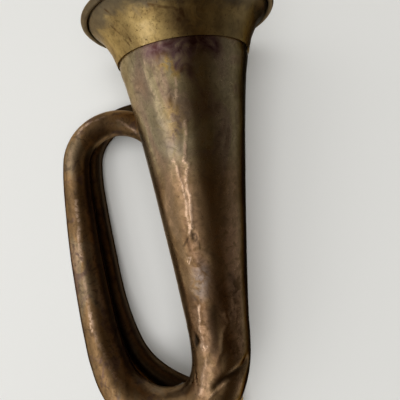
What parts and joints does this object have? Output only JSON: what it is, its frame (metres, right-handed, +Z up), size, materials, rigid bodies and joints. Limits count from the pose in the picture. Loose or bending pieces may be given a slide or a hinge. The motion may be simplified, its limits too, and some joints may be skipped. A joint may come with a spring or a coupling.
{
  "type": "bugle",
  "caption": "Twice-wound copper duty bugle with a brass bell garland and a removable mouthpiece, lying on its side.",
  "frame": {"origin": "centre of the box round the whole bugle, on the surface it lies on", "axes": "+X along the bell's axis towards its rim, +Y towards the loops, +Z up from the surface it lies on"},
  "size_m": [0.273, 0.125, 0.0956],
  "materials": {
    "copper": "worn copper with brown patina",
    "brass": "worn, spotted",
    "solder": "dull",
    "silver_plate": "satin silver plate"
  },
  "bodies": {
    "bugle": {"bell_cone": "copper", "bell_garland": "brass", "rim_wire": "solder", "main_bow": "copper", "lower_branch_2": "copper", "front_bow_2": "copper", "middle_branch": "copper", "rear_bow_1": "copper", "lower_branch_1": "copper", "front_bow_1": "copper", "mouthpipe": "copper", "ferrule_front_bow_2": "brass", "ferrule_rear_bow_1": "brass", "ferrule_front_bow_1": "brass", "mouthpiece_receiver": "brass", "stay_cone_front": "solder", "stay_cone_rear": "solder", "stay_rear_bows": "solder", "stay_lower_branches": "solder", "stay_mouthpipe": "solder", "lanyard_lug_front": "brass", "lanyard_lug_rear": "brass"},
    "mouthpiece": {"mouthpiece": "silver_plate"},
    "ring_front": {"lanyard_ring_front": "brass"},
    "ring_rear": {"lanyard_ring_rear": "brass"}
  },
  "joints": [
    {"name": "mouthpiece_pull", "type": "slide", "parent": "bugle", "child": "mouthpiece", "axis": [-0.9997, 0, 0.0236], "range_m": [0, 0.03]},
    {"name": "front_ring_swing", "type": "hinge", "parent": "bugle", "child": "ring_front", "pos_m": [0.07177, -0.03541, 0.02654], "axis": [1, 0, 0], "range_deg": [-130, 40]},
    {"name": "rear_ring_swing", "type": "hinge", "parent": "bugle", "child": "ring_rear", "pos_m": [-0.0846, 0.0166, 0.0402], "axis": [0, 1, 0], "range_deg": [-15, 160]}
  ]
}
